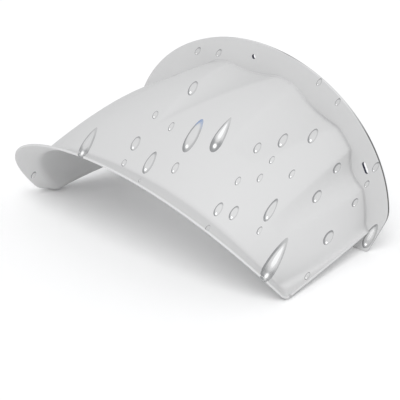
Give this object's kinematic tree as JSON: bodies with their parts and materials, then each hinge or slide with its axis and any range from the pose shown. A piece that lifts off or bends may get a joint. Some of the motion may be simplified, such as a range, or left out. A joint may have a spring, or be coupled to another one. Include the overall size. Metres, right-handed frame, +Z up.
{
  "type": "camera sun shield",
  "caption": "Moulded hood with a flat oval wall flange, pressed scoops, a flared brim and side lips, screwed to a wall to shade an outdoor camera from sun and rain.",
  "frame": {"origin": "centre of the top screw hole on the back face of the flange, which lies on the wall plane y = 0", "axes": "+X along the wall to the right of someone facing the shield, -Y away from the wall towards the brim, +Z up"},
  "size_m": [0.3996, 0.2399, 0.1942],
  "materials": {
    "white_plastic": null
  },
  "bodies": {
    "root": {"sun_shield": "white_plastic"}
  },
  "joints": []
}
